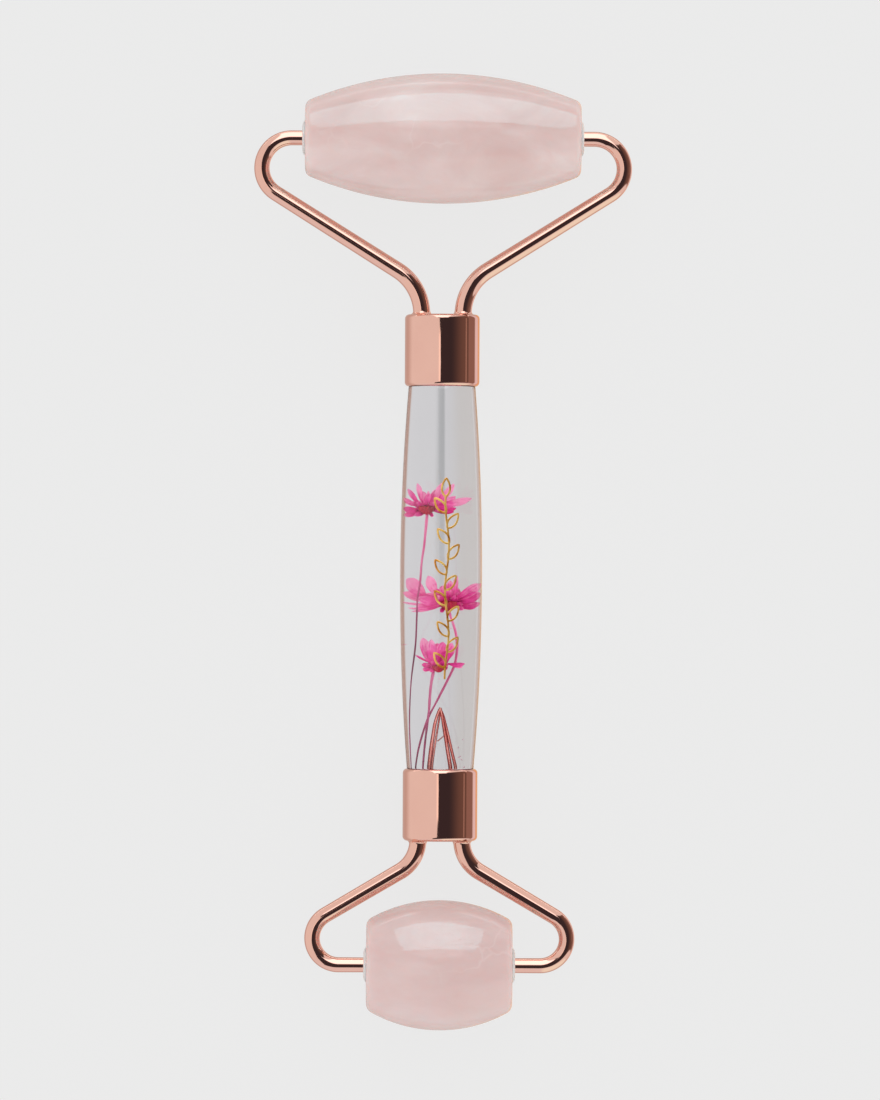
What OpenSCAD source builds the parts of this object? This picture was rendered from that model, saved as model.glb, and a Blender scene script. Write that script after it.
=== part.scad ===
// Two-ended facial massage roller, lying flat on its two stones.
// X runs along the roller stones, Y along the handle (large roller at +Y), Z up.
// The origin is under the middle of the roller, on the surface it lies on.

/* [Stones] */
// Distance between the two roller axes
axle_span = 124; // [120:0.5:130]
// Diameter of both stones at their middle
stone_d = 19.5; // [18:0.1:21]
// Length of the large stone
large_len = 41.4; // [39:0.1:43]
// Length of the small stone
small_len = 21.9; // [20:0.1:24]
// Radius of the large stone's crown, measured in a lengthwise section
large_crown_r = 52.5; // [48:0.5:90]
// Radius of the small stone's crown, measured in a lengthwise section
small_crown_r = 21; // [18:0.5:30]
// Rounding of the large stone's end edges
large_edge_r = 1.3; // [0.5:0.1:2]
// Rounding of the small stone's end edges
small_edge_r = 1.5; // [0.5:0.1:2]
// Diameter of the hole drilled through each stone
stone_bore_d = 4.2; // [3.6:0.1:4.6]

/* [Bushes] */
// Diameter of the flange that closes the end of a stone's hole
flange_d = 5.2; // [4.8:0.1:6]
// Thickness of the flange
flange_t = 0.4; // [0.3:0.1:0.8]
// How deep a bush reaches into the large stone
large_bush_depth = 6; // [5.5:0.1:8]
// How deep a bush reaches into the small stone
small_bush_depth = 5; // [4.9:0.1:5.5]
// Radial clearance between an arm's tip and its bush
running_gap = 0.05; // [0.02:0.01:0.1]
// Empty space in a bush past the end of the arm's tip
tip_gap = 0.4; // [0.2:0.1:0.6]

/* [Fork arms] */
// Diameter of an arm at the stone
tip_d = 2.24; // [2:0.01:2.4]
// Diameter of an arm at the ferrule
root_d = 2.56; // [2.4:0.01:2.8]
// Length of an arm's tip inside a bush
tip_engagement = 4.4; // [3.5:0.1:4.5]
// Length of an arm's foot inside a ferrule, from its end face
foot_len = 4.4; // [3:0.1:5]
// Distance from the large ferrule's end face to the large roller's axis
large_fork_h = 26.4; // [25:0.1:28]
// Distance from the small ferrule's end face to the small roller's axis
small_fork_h = 18.7; // [18:0.1:20]
// Distance from the handle's axis to the outermost centre line of a large arm
large_reach = 27.2; // [26.5:0.1:29]
// Distance from the handle's axis to the outermost centre line of a small arm
small_reach = 19.1; // [18.5:0.1:21]
// Distance from the handle's axis to the foot of a large arm
large_foot_x = 3.1; // [2.8:0.05:3.3]
// Distance from the handle's axis to the foot of a small arm
small_foot_x = 3.3; // [2.8:0.05:3.35]
// Centre line radius of a large arm's bend at the ferrule
large_neck_r = 7.8; // [6.5:0.1:8.5]
// Centre line radius of a small arm's bend at the ferrule
small_neck_r = 5.4; // [4.5:0.1:6]
// Centre line radius of a large arm's bend beside the stone
large_bend_r = 4.5; // [4:0.1:5]
// Centre line radius of a small arm's bend beside the stone
small_bend_r = 4; // [3.5:0.1:4.5]

/* [Ferrules] */
// Outer diameter of a ferrule
ferrule_d = 11.2; // [11:0.1:12]
// Length of a ferrule
ferrule_len = 10.8; // [10:0.1:13]
// Diameter of a ferrule's socket, and of the handle's spigot in it
socket_d = 9.2; // [8.6:0.1:9.4]
// Thickness of a ferrule's closed end
ferrule_end_t = 1.4; // [1:0.1:2]
// Rounding of a ferrule's outer edges
ferrule_edge_r = 0.6; // [0.3:0.05:0.7]
// Height of the braze fillet around an arm's foot
braze_h = 0.7; // [0.4:0.1:1]
// How far the braze fillet spreads over the ferrule's end
braze_w = 0.35; // [0.2:0.05:0.4]

/* [Handle] */
// Diameter of the grip next to a ferrule
grip_end_d = 10; // [9.6:0.1:10.6]
// Diameter of the grip at its middle
grip_mid_d = 12.3; // [11:0.1:14]
// Length of the spigot inside each ferrule
spigot_len = 5; // [4:0.1:5.5]

/* [Dried flowers] */
// Thickness of a petal
petal_t = 0.2; // [0.15:0.05:0.25]
// Distance between the layers of petals in one flower
petal_step = 0.34; // [0.3:0.02:0.4]
// Diameter of a flower's stem
flower_stem_d = 0.5; // [0.4:0.05:0.7]
// Diameter of the folded dried stem
folded_stem_d = 0.8; // [0.5:0.05:1]

/* [Hidden] */
$fn = 96;
eps = 0.01;

quartz = [0.87, 0.76, 0.75];
rose_gold = [0.85, 0.64, 0.57];
clear_plastic = [0.93, 0.88, 0.88];
potting_resin = [0.8, 0.78, 0.72];
clear_resin = [0.85, 0.85, 0.86, 0.35];
petal_pink = [0.85, 0.3, 0.6];
calyx_red = [0.55, 0.1, 0.22];
stem_pink = [0.6, 0.3, 0.4];
stem_brown = [0.66, 0.3, 0.25];

axle_z = stone_d / 2;
tip_r = tip_d / 2;
root_r = root_d / 2;
large_end_y = axle_span / 2 - large_fork_h;
small_end_y = -axle_span / 2 + small_fork_h;
grip_top_y = large_end_y - ferrule_len;
grip_bottom_y = small_end_y + ferrule_len;
grip_len = grip_top_y - grip_bottom_y;
grip_y = (grip_top_y + grip_bottom_y) / 2;
spigot_chamfer = 0.4;
ball_scale = 1.06;
bend_steps = 9;
rod_sides = 16;
side_scale = 1.01;
braze_top_w = 0.05;
flange_taper = 0.35;

// One fork: [height of the axle over the ferrule's end, reach, foot offset, neck bend, outer bend, tip end]
large_fork = [large_fork_h, large_reach, large_foot_x, large_neck_r, large_bend_r, large_len / 2 - tip_engagement];
small_fork = [small_fork_h, small_reach, small_foot_x, small_neck_r, small_bend_r, small_len / 2 - tip_engagement];

// One flower: [centre, direction of the fan, angle of the fan, length of a petal, width of a petal, petals]
upper_flower = [[-0.8, 6.6, 0], 80, 170, 3.1, 2.2, 7];
middle_flower = [[0.5, -8.4, 0], 93, 160, 3.6, 2.6, 7];
lower_flower = [[-0.3, -17.4, 0], 92, 110, 3.9, 2.2, 7];
petal_start = 0.8;
calyx_len = 1.3;
calyx_r = 0.65;
calyx_neck_r = 0.3;

// The upper stem runs in front of the flowers below it, the middle stem behind the lower flower,
// and all stems end inside the lower ferrule
upper_stem_path = [[-0.9, 5.2, 0.3], [-1.7, 1, 1.4], [-2.3, -7, 2.3], [-3.1, -22, 2.3], [-2.9, -35.5, 2]];
middle_stem_path = [[0.7, -9.8, -0.2], [1.6, -13, -1.8], [1.3, -18, -1.9], [-0.8, -25, -1.2], [-2, -35.5, -0.6]];
lower_stem_path = [[-0.4, -18.8, 0.1], [-0.8, -24, 0.9], [-1.3, -35.5, 1.4]];
folded_stem_path = [[-1, -35.5, 2.6], [0, -23.4, 2.2], [1.6, -35.5, 2.4]];

// ---------- placing ----------

// Puts a fork's parts on the large end: local +Y runs from the ferrule's end face to the axle
module at_large_end() {
    translate([0, large_end_y, axle_z]) children();
}

// The same for the small end, where the fork points to -Y
module at_small_end() {
    translate([0, small_end_y, axle_z]) mirror([0, 1, 0]) children();
}

module at_large_axle() {
    translate([0, axle_span / 2, axle_z]) children();
}

module at_small_axle() {
    translate([0, -axle_span / 2, axle_z]) children();
}

// A cylinder or cone from x = 0 to x = len
module bar_x(len, r1, r2) {
    rotate([0, 90, 0]) cylinder(h = len, r1 = r1, r2 = r2);
}

// A cylinder or cone from y = 0 to y = len
module bar_y(len, r1, r2) {
    rotate([-90, 0, 0]) cylinder(h = len, r1 = r1, r2 = r2);
}

// ---------- stones ----------

// Half of a stone's lengthwise section: a crown arc, and an edge arc that touches it and the end face
module stone_section(len, crown_r, edge_r) {
    edge_x = len / 2 - edge_r;
    crown_y = stone_d / 2 - crown_r;
    edge_y = crown_y + sqrt(pow(crown_r - edge_r, 2) - pow(edge_x, 2));
    touch_x = edge_x * crown_r / (crown_r - edge_r);
    translate([0, -len / 2]) square([edge_y, len]);
    for (side = [-1, 1]) translate([edge_y, side * edge_x]) circle(edge_r);
    intersection() {
        translate([crown_y, 0]) circle(crown_r, $fn = 720);
        translate([0, -touch_x]) square([stone_d, 2 * touch_x]);
    }
}

module stone(len, crown_r, edge_r) {
    color(quartz) difference() {
        rotate([0, 90, 0]) rotate_extrude() stone_section(len, crown_r, edge_r);
        translate([-len / 2 - eps, 0, 0]) bar_x(len + 2 * eps, stone_bore_d / 2, stone_bore_d / 2);
    }
}

// A top-hat bush, glued into the end of the stone at +X, with a blind hole for the arm's tip
module bush(stone_len, depth) {
    bore_r = tip_r + running_gap;
    bore_len = tip_engagement + tip_gap;
    color(clear_plastic) difference() {
        union() {
            translate([stone_len / 2 - depth, 0, 0]) bar_x(depth, stone_bore_d / 2, stone_bore_d / 2);
            translate([stone_len / 2, 0, 0]) bar_x(flange_t, flange_d / 2, flange_d / 2 - flange_taper);
        }
        translate([stone_len / 2 - bore_len, 0, 0]) bar_x(bore_len + flange_t + eps, bore_r, bore_r);
    }
}

// ---------- fork arms ----------

function neck_centre(fork) = [fork[2] + fork[3], 0];
function bend_centre(fork) = [fork[1] - fork[4], fork[0] - fork[4]];

// Direction of the straight stretch: the line that touches the two bends on opposite sides
function straight_angle(fork) =
    let (d = bend_centre(fork) - neck_centre(fork))
    atan2(d.y, d.x) - asin((fork[3] + fork[4]) / norm(d));

// Stations along a bend, from one polar angle to another: [point, direction of travel, radius]
function bend_stations(centre, bend_r, from, to, rod_r) =
    [for (i = [0:bend_steps])
        let (t = from + (to - from) * i / bend_steps, s = sign(to - from))
        [centre + bend_r * [cos(t), sin(t)], s * [-sin(t), cos(t)], rod_r]];

// The corners of a rod's many-sided cross-section at one station. The sides stand just outside the
// true circle, so that a round rod's end lies wholly on the end of a many-sided one.
function rod_ring(station) =
    let (p = station[0], across = [-station[1].y, station[1].x], r = station[2] * side_scale / cos(180 / rod_sides))
    [for (k = [0:rod_sides - 1]) let (t = 360 * k / rod_sides)
        [p.x + across.x * r * cos(t), p.y + across.y * r * cos(t), r * sin(t)]];

// A bent rod in the plane z = 0, swept through its stations
module bent_rod(stations) {
    n = rod_sides;
    last = len(stations) - 1;
    polyhedron(
        points = [for (station = stations) each rod_ring(station)],
        faces = concat(
            [[for (k = [0:n - 1]) k]],
            [for (i = [0:last - 1], k = [0:n - 1]) let (a = i * n + k, b = i * n + (k + 1) % n) [a, a + n, b]],
            [for (i = [0:last - 1], k = [0:n - 1]) let (a = i * n + k, b = i * n + (k + 1) % n) [b, a + n, b + n]],
            [[for (k = [0:n - 1]) last * n + n - 1 - k]]));
}

// The arm on the +X side: a round foot in the ferrule, the bent stretch, and a round tip in the stone
module arm(fork) {
    a = straight_angle(fork);
    bend = bend_centre(fork);
    color(rose_gold) {
        translate([fork[2], -foot_len, 0]) bar_y(foot_len, root_r, root_r);
        bent_rod(concat(
            bend_stations(neck_centre(fork), fork[3], 180, 90 + a, root_r),
            bend_stations(bend, fork[4], a - 90, 90, tip_r)));
        translate([fork[5], fork[0], 0]) bar_x(bend.x - fork[5], tip_r, tip_r);
    }
}

// The holes in a ferrule's end for both feet
module foot_holes(fork) {
    for (side = [-1, 1])
        translate([side * fork[2], -foot_len, 0]) bar_y(foot_len + eps, root_r, root_r);
}

// ---------- ferrules ----------

// Half section of a ferrule's outside, with rounded edges, from the mouth at y = 0 to the closed end
module ferrule_section() {
    r = ferrule_d / 2;
    e = ferrule_edge_r;
    square([r - e, ferrule_len]);
    translate([0, e]) square([r, ferrule_len - 2 * e]);
    for (y = [e, ferrule_len - e]) translate([r - e, y]) circle(e);
}

module ferrule(fork) {
    socket_len = ferrule_len - ferrule_end_t;
    color(rose_gold) difference() {
        translate([0, -ferrule_len, 0]) rotate([-90, 0, 0]) rotate_extrude() ferrule_section();
        translate([0, -ferrule_len - eps, 0]) bar_y(socket_len + eps, socket_d / 2, socket_d / 2);
        foot_holes(fork);
    }
}

// A ring of braze around each foot, on the ferrule's end face
module braze(fork) {
    color(rose_gold) for (side = [-1, 1]) translate([side * fork[2], 0, 0]) difference() {
        bar_y(braze_h, root_r + braze_w, root_r + braze_top_w);
        translate([0, -eps, 0]) bar_y(braze_h + 2 * eps, root_r, root_r);
    }
}

// The plug that holds the feet in the socket, between the spigot and the ferrule's end
module potting(fork) {
    plug_len = ferrule_len - ferrule_end_t - spigot_len;
    color(potting_resin) difference() {
        translate([0, -ferrule_len + spigot_len, 0]) bar_y(plug_len, socket_d / 2, socket_d / 2);
        foot_holes(fork);
    }
}

// ---------- handle ----------

// Half section of the grip: a barrel arc between the ferrules
module grip_section() {
    bulge = (grip_mid_d - grip_end_d) / 2;
    arc_r = (pow(grip_len / 2, 2) + pow(bulge, 2)) / (2 * bulge);
    intersection() {
        translate([grip_mid_d / 2 - arc_r, 0]) circle(arc_r, $fn = 1440);
        translate([0, -grip_len / 2]) square([grip_mid_d, grip_len]);
    }
}

// The grip, and a chamfered spigot that starts inside it and stands out of each end
module handle() {
    spigot_r = socket_d / 2;
    color(clear_resin) translate([0, grip_y, axle_z]) {
        rotate([-90, 0, 0]) rotate_extrude() grip_section();
        for (side = [0, 1]) mirror([0, side, 0]) translate([0, grip_len / 2, 0]) {
            translate([0, -spigot_len, 0]) bar_y(2 * spigot_len - spigot_chamfer, spigot_r, spigot_r);
            translate([0, spigot_len - spigot_chamfer, 0])
                bar_y(spigot_chamfer, spigot_r, spigot_r - spigot_chamfer);
        }
    }
}

// ---------- dried flowers cast into the handle ----------

// A petal's outline: the lens where two equal circles overlap, from the origin along +X
module petal_outline(len, width) {
    r = (pow(len / 2, 2) + pow(width / 2, 2)) / width;
    intersection() {
        translate([len / 2, r - width / 2]) circle(r);
        translate([len / 2, width / 2 - r]) circle(r);
    }
}

// A fan of petals, each in a layer of its own, that starts just outside the calyx
module petals(flower) {
    n = flower[5];
    color(petal_pink) translate(flower[0] + [0, 0, axle_z]) for (i = [0:n - 1]) {
        turn = flower[1] + flower[2] * (i / (n - 1) - 0.5);
        layer = (i * 3 % n) - (n - 1) / 2;
        rotate([0, 0, turn]) translate([petal_start, 0, layer * petal_step - petal_t / 2])
            linear_extrude(petal_t) petal_outline(flower[3], flower[4]);
    }
}

// A cone that opens towards the petals
module calyx(flower) {
    color(calyx_red) translate(flower[0] + [0, -calyx_len, axle_z]) bar_y(calyx_len, calyx_neck_r, calyx_r);
}

// A round stem along a path: a rod for each stretch and a ball at each corner
module stem(path, d) {
    translate([0, 0, axle_z]) {
        for (i = [0:len(path) - 2]) {
            step = path[i + 1] - path[i];
            translate(path[i])
                rotate([0, acos(step.z / norm(step)), atan2(step.y, step.x)]) cylinder(h = norm(step), d = d);
        }
        for (i = [1:len(path) - 2]) translate(path[i]) sphere(d = d * ball_scale);
    }
}

// ---------- nodes ----------

module large_stone() { at_large_axle() stone(large_len, large_crown_r, large_edge_r); }
module large_bush_left() { at_large_axle() mirror([1, 0, 0]) bush(large_len, large_bush_depth); }
module large_bush_right() { at_large_axle() bush(large_len, large_bush_depth); }
module large_arm_left() { at_large_end() mirror([1, 0, 0]) arm(large_fork); }
module large_arm_right() { at_large_end() arm(large_fork); }
module large_ferrule() { at_large_end() ferrule(large_fork); }
module large_braze() { at_large_end() braze(large_fork); }
module large_potting() { at_large_end() potting(large_fork); }

module small_stone() { at_small_axle() stone(small_len, small_crown_r, small_edge_r); }
module small_bush_left() { at_small_axle() mirror([1, 0, 0]) bush(small_len, small_bush_depth); }
module small_bush_right() { at_small_axle() bush(small_len, small_bush_depth); }
module small_arm_left() { at_small_end() mirror([1, 0, 0]) arm(small_fork); }
module small_arm_right() { at_small_end() arm(small_fork); }
module small_ferrule() { at_small_end() ferrule(small_fork); }
module small_braze() { at_small_end() braze(small_fork); }
module small_potting() { at_small_end() potting(small_fork); }

module upper_flower_petals() { petals(upper_flower); }
module upper_flower_calyx() { calyx(upper_flower); }
module upper_flower_stem() { color(stem_pink) stem(upper_stem_path, flower_stem_d); }
module middle_flower_petals() { petals(middle_flower); }
module middle_flower_calyx() { calyx(middle_flower); }
module middle_flower_stem() { color(stem_pink) stem(middle_stem_path, flower_stem_d); }
module lower_flower_petals() { petals(lower_flower); }
module lower_flower_calyx() { calyx(lower_flower); }
module lower_flower_stem() { color(stem_pink) stem(lower_stem_path, flower_stem_d); }
module folded_stem() { color(stem_brown) stem(folded_stem_path, folded_stem_d); }

large_stone();
large_bush_left();
large_bush_right();
large_arm_left();
large_arm_right();
large_ferrule();
large_braze();
large_potting();
small_stone();
small_bush_left();
small_bush_right();
small_arm_left();
small_arm_right();
small_ferrule();
small_braze();
small_potting();
handle();
upper_flower_petals();
upper_flower_calyx();
upper_flower_stem();
middle_flower_petals();
middle_flower_calyx();
middle_flower_stem();
lower_flower_petals();
lower_flower_calyx();
lower_flower_stem();
folded_stem();
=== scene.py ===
# %% [markdown]
# # A rose quartz facial roller
#
# A two-ended massage roller lies on a pale table. Two polished stones turn on rose-gold
# arms, and the clear resin handle has dried pink flowers cast into it. Every piece is
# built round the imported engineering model: that model says where things are and how
# they move, and the cells below say how they look.

# %% Load the engineering frame
import math

import bpy
import numpy as np
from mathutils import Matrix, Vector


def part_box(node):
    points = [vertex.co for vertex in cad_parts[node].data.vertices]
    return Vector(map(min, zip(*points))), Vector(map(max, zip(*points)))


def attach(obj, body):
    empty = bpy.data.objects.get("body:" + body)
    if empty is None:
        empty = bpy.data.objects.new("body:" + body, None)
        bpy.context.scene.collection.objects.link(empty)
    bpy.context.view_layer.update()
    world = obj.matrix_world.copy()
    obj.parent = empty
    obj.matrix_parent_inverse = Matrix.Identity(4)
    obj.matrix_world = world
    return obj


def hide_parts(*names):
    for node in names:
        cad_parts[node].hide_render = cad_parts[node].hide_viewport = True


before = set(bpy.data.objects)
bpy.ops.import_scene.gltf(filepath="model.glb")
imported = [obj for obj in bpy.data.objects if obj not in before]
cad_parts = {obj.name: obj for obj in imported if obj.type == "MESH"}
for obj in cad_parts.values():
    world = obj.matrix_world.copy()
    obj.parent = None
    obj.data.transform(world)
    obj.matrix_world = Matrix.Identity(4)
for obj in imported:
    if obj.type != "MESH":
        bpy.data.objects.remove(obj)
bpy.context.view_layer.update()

# %% [markdown]
# ## Reading the main sizes
#
# Nothing is placed by eye. The axles, ferrules and handle are read from the boxes of the
# engineering nodes, so a change of the design moves the looks with it. Only sizes that a
# box can't tell, such as the radius of a bend, are named here. Everything below
# is in millimetres until a mesh is made, because the object is small.

# %% Sizes from the frame
MM = 0.001
TAU = 2 * math.pi


def box_mm(node):
    """Lowest and highest corner of an engineering node, in millimetres."""
    low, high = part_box(node)
    return np.array(low) / MM, np.array(high) / MM


def middle_mm(node):
    """Middle of a node's box, in millimetres."""
    low, high = box_mm(node)
    return (low + high) / 2


ENDS = ("large", "small")
SIDES = {"left": -1, "right": 1}
TOWARDS = {"large": 1, "small": -1}          # which way along Y each end points
axle_z = middle_mm("large_ferrule")[2]
axle_y = {end: middle_mm(f"{end}_stone")[1] for end in ENDS}
stone_half = {end: box_mm(f"{end}_stone")[1][0] for end in ENDS}
stone_r = axle_z                             # both stones rest on z = 0
ferrule_r = box_mm("large_ferrule")[1][0]
ferrule_len = float(np.ptp([c[1] for c in box_mm("large_ferrule")]))
face_y = {"large": box_mm("large_ferrule")[1][1], "small": box_mm("small_ferrule")[0][1]}
mouth_y = {"large": box_mm("large_ferrule")[0][1], "small": box_mm("small_ferrule")[1][1]}
grip_len = mouth_y["large"] - mouth_y["small"]
grip_y = (mouth_y["large"] + mouth_y["small"]) / 2
spigot_len = (np.ptp([c[1] for c in box_mm("handle")]) - grip_len) / 2
print(f"axles at y = {axle_y['large']:.1f} and {axle_y['small']:.1f} mm, grip {grip_len:.1f} mm long")

# %% [markdown]
# ## Two ways to make a surface
#
# Almost everything on this object was turned on a lathe or bent from a round bar. So two
# functions do most of the work. One spins a section about an axis, the other carries a
# ring along a path. Each is a grid of points worked out at once, a function of two
# parameters, and the same grid-to-mesh step turns it into faces.

# %% Grid of points to mesh
def make_mesh(name, parts, sharp_degrees=35):
    """Makes one mesh object from a list of closed surfaces. Each is (points in
    millimetres, list of face index arrays, uv or None). A third column of the uv is the
    tone. The signed volume of a surface tells whether its faces point outwards."""
    points, rows, uvs, first = [], [], [], 0
    for part_points, faces, uv in parts:
        tri = np.concatenate([np.stack([f[:, 0], f[:, k], f[:, k + 1]], 1)
                              for f in faces for k in range(1, f.shape[1] - 1)])
        a, b, c = (part_points[tri[:, k]] - part_points.mean(0) for k in range(3))
        outwards = np.einsum("ij,ij->i", a, np.cross(b, c)).sum() > 0
        for f in faces:
            rows += (first + (f if outwards else f[:, ::-1])).tolist()
        points.append(part_points)
        extra = np.zeros((len(part_points), 3))
        if uv is not None:
            extra[:, :uv.shape[1]] = uv
        uvs.append(extra)
        first += len(part_points)
    mesh = bpy.data.meshes.new(name)
    mesh.from_pydata((np.vstack(points) * MM).tolist(), [], rows)
    layer = mesh.uv_layers.new(name="surface")
    corner = np.zeros(len(mesh.loops), np.int32)
    mesh.loops.foreach_get("vertex_index", corner)
    uvs = np.vstack(uvs).astype(np.float32)
    layer.data.foreach_set("uv", uvs[corner, :2].ravel())
    mesh.attributes.new("tone", "FLOAT", "POINT").data.foreach_set("value", uvs[:, 2])
    mesh.shade_smooth()
    mesh.set_sharp_from_angle(angle=math.radians(sharp_degrees))
    obj = bpy.data.objects.new(name, mesh)
    bpy.context.scene.collection.objects.link(obj)
    print(f"{name}: {len(rows)} faces")
    return obj


def grid_faces(rows, cols, close_rows=False):
    """Quads of a grid of rows by cols points. The columns go all the way round, and the
    rows do too if close_rows is set."""
    i, j = np.meshgrid(np.arange(rows if close_rows else rows - 1), np.arange(cols), indexing="ij")
    i, j = i.ravel(), j.ravel()
    i2, j2 = (i + 1) % rows, (j + 1) % cols
    return np.stack([i * cols + j, i * cols + j2, i2 * cols + j2, i2 * cols + j], 1)


def closed_tube(grid, tips):
    """Closes a grid of rings, rows by columns by 3, with a fan of triangles to each tip."""
    rows, cols = grid.shape[:2]
    points = np.vstack([grid.reshape(-1, 3), tips])
    count = rows * cols
    ring = np.arange(cols)
    following = np.roll(ring, -1)
    start = np.stack([following, ring, np.full(cols, count)], 1)
    last = count - cols
    end = np.stack([last + ring, last + following, np.full(cols, count + 1)], 1)
    return points, [grid_faces(rows, cols), start, end]


# %% [markdown]
# ### Spinning and sweeping
#
# On the real object the stones, ferrules and handle come off a lathe, and the arms are
# bent bars. Blender's Spin tool and a bevelled curve could make both. Formulas are used
# here instead, because every radius then comes straight from a named size.

# %% Spinning a section
def spun(section, axis, centre, steps=192, loop=False):
    """A turned surface. section is a list of (distance along the axis, radius): point =
    centre + along * axis + radius * (cos t, sin t) in the plane across the axis. A loop
    section closes on itself, any other one starts and ends on the axis."""
    section = np.asarray(section, float)
    along, across_1, across_2 = {"x": (0, 1, 2), "y": (1, 2, 0)}[axis]
    inner = section if loop else section[1:-1]
    t = np.linspace(0, TAU, steps, endpoint=False)
    grid = np.zeros((len(inner), steps, 3))
    grid[..., along] = inner[:, 0, None]
    grid[..., across_1] = inner[:, 1, None] * np.cos(t)
    grid[..., across_2] = inner[:, 1, None] * np.sin(t)
    grid += np.asarray(centre, float)
    if loop:
        return grid.reshape(-1, 3), [grid_faces(len(inner), steps, close_rows=True)], None
    tips = np.tile(np.asarray(centre, float), (2, 1))
    tips[:, along] += section[[0, -1], 0]
    return (*closed_tube(grid, tips), None)


# %% Carrying a ring along a path
def swept(path, radii, sides=28, flat=1.0, up=(0, 0, 1)):
    """A bar along a path, with a radius at each point: point = path + radius * (cos t *
    sideways + flat * sin t * upwards), where sideways is across both the path and up. Its
    uv is (distance along the path, share of the way round)."""
    path = np.asarray(path, float)
    radii = np.broadcast_to(np.asarray(radii, float), (len(path),))
    along = np.gradient(path, axis=0)
    along /= np.linalg.norm(along, axis=1, keepdims=True)
    sideways = np.cross(along, np.asarray(up, float))
    sideways /= np.linalg.norm(sideways, axis=1, keepdims=True)
    upwards = np.cross(sideways, along)
    t = np.linspace(0, TAU, sides, endpoint=False)
    ring = (np.cos(t)[None, :, None] * sideways[:, None, :]
            + flat * np.sin(t)[None, :, None] * upwards[:, None, :])
    grid = path[:, None, :] + radii[:, None, None] * ring
    points, faces = closed_tube(grid, path[[0, -1]])
    walked = np.concatenate([[0], np.cumsum(np.linalg.norm(np.diff(path, axis=0), axis=1))])
    uv = np.stack(np.broadcast_arrays(walked[:, None], t[None, :] / TAU), -1).reshape(-1, 2)
    return points, faces, np.vstack([uv, [[walked[0], 0], [walked[-1], 0]]])


# %% [markdown]
# ### Two kinds of curve
#
# Metal is bent and turned in true arcs, and a stem hangs in a free curve. An arc is a
# cosine and a sine. For the stems a Catmull-Rom curve is handy, since it passes through
# every point it is given, where a Bezier curve would need handles as well.

# %% Arcs and free curves
def arc(centre, radius, start_degrees, end_degrees, steps):
    """Points of an arc in a plane: centre + radius * (cos t, sin t)."""
    t = np.radians(np.linspace(start_degrees, end_degrees, steps))
    return np.asarray(centre, float) + radius * np.stack([np.cos(t), np.sin(t)], 1)


def smooth_path(corners, steps=12):
    """A Catmull-Rom curve through the corners: each stretch is a cubic whose direction at a
    corner is half the way from the corner before to the corner after."""
    p = np.asarray(corners, float)
    p = np.vstack([2 * p[0] - p[1], p, 2 * p[-1] - p[-2]])
    a, b, c, d = (p[k:len(p) - 3 + k, None, :] for k in range(4))
    t = np.linspace(0, 1, steps, endpoint=False)[None, :, None]
    curve = 0.5 * (2 * b + (c - a) * t + (2 * a - 5 * b + 4 * c - d) * t ** 2
                   + (3 * b - a - 3 * c + d) * t ** 3)
    return np.vstack([curve.reshape(-1, p.shape[1]), p[-2]])


# %% [markdown]
# ## Materials
#
# Each finish is a small node tree on the Principled shader. Patterns read Object
# coordinates, in metres, so they stay on the piece when it turns. A helper keeps the
# node plumbing short: it makes a node, sets its inputs, and links what is already a
# socket.

# %% Material helpers
def join(tree, value, socket):
    """Links a value that is a socket, and sets any other one. Colours get their fourth
    number here."""
    if isinstance(value, bpy.types.NodeSocket):
        tree.links.new(value, socket)
    else:
        socket.default_value = (*value, 1) if socket.type == "RGBA" else value


def node_maker(tree):
    """A function that adds a node: its settings become properties, its inputs are joined."""
    def node(kind, inputs=None, **settings):
        made = tree.nodes.new("ShaderNode" + kind)
        for key, value in settings.items():
            setattr(made, key, value)
        for key, value in (inputs or {}).items():
            join(tree, value, made.inputs[key])
        return made
    return node


def new_material(name):
    """A material with nothing but its Principled shader, a node maker, and a function
    that joins values to the shader's inputs."""
    material = bpy.data.materials.new(name)
    material.use_nodes = True
    tree = material.node_tree
    shader = tree.nodes["Principled BSDF"]

    def put(**values):
        for key, value in values.items():
            join(tree, value, shader.inputs[key.replace("_", " ")])
    print("material:", name)
    return material, node_maker(tree), put


# %% [markdown]
# ### Patterns
#
# The few node set-ups that come back in almost every finish get a function each: where a
# point is, clouds, mixing, sums, relief and a ramp. They could be node groups, but an
# exporter follows plain nodes more surely.

# %% Pattern helpers
def own_place(node):
    """The piece's own coordinates, in metres."""
    return node("TexCoord").outputs["Object"]


def own_uv(node):
    """The piece's uv map."""
    return node("UVMap", uv_map="surface").outputs["UV"]


def one_axis(node, vector, axis):
    """One number of a vector."""
    return node("SeparateXYZ", {"Vector": vector}).outputs[axis]


def noise(node, place, scale, detail=2, **more):
    """Clouds of 1 / scale metres, with finer ones on top as the detail grows."""
    return node("TexNoise", {"Vector": place, "Scale": scale, "Detail": detail, **more}).outputs["Fac"]


def mix(node, share, below, above):
    """below * (1 - share) + above * share."""
    return node("MixRGB", {"Fac": share, "Color1": below, "Color2": above}).outputs[0]


def maths(node, operation, *values):
    """One sum of the Math node. MULTIPLY_ADD is first * second + third."""
    return node("Math", dict(enumerate(values)), operation=operation).outputs[0]


def bump(node, height, strength, depth):
    """A normal that follows a height, for relief too fine to model. depth is in metres."""
    return node("Bump", {"Strength": strength, "Distance": depth, "Height": height}).outputs[0]


def ramp(node, factor, stops):
    """A colour ramp. stops is a list of (position, colour or grey)."""
    made = node("ValToRGB", {"Fac": factor})
    elements = made.color_ramp.elements
    while len(elements) < len(stops):
        elements.new(0.5)
    for element, (position, colour) in zip(elements, stops):
        element.position = position
        element.color = (*colour, 1) if isinstance(colour, tuple) else (colour, colour, colour, 1)
    return made.outputs["Color"]


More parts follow.
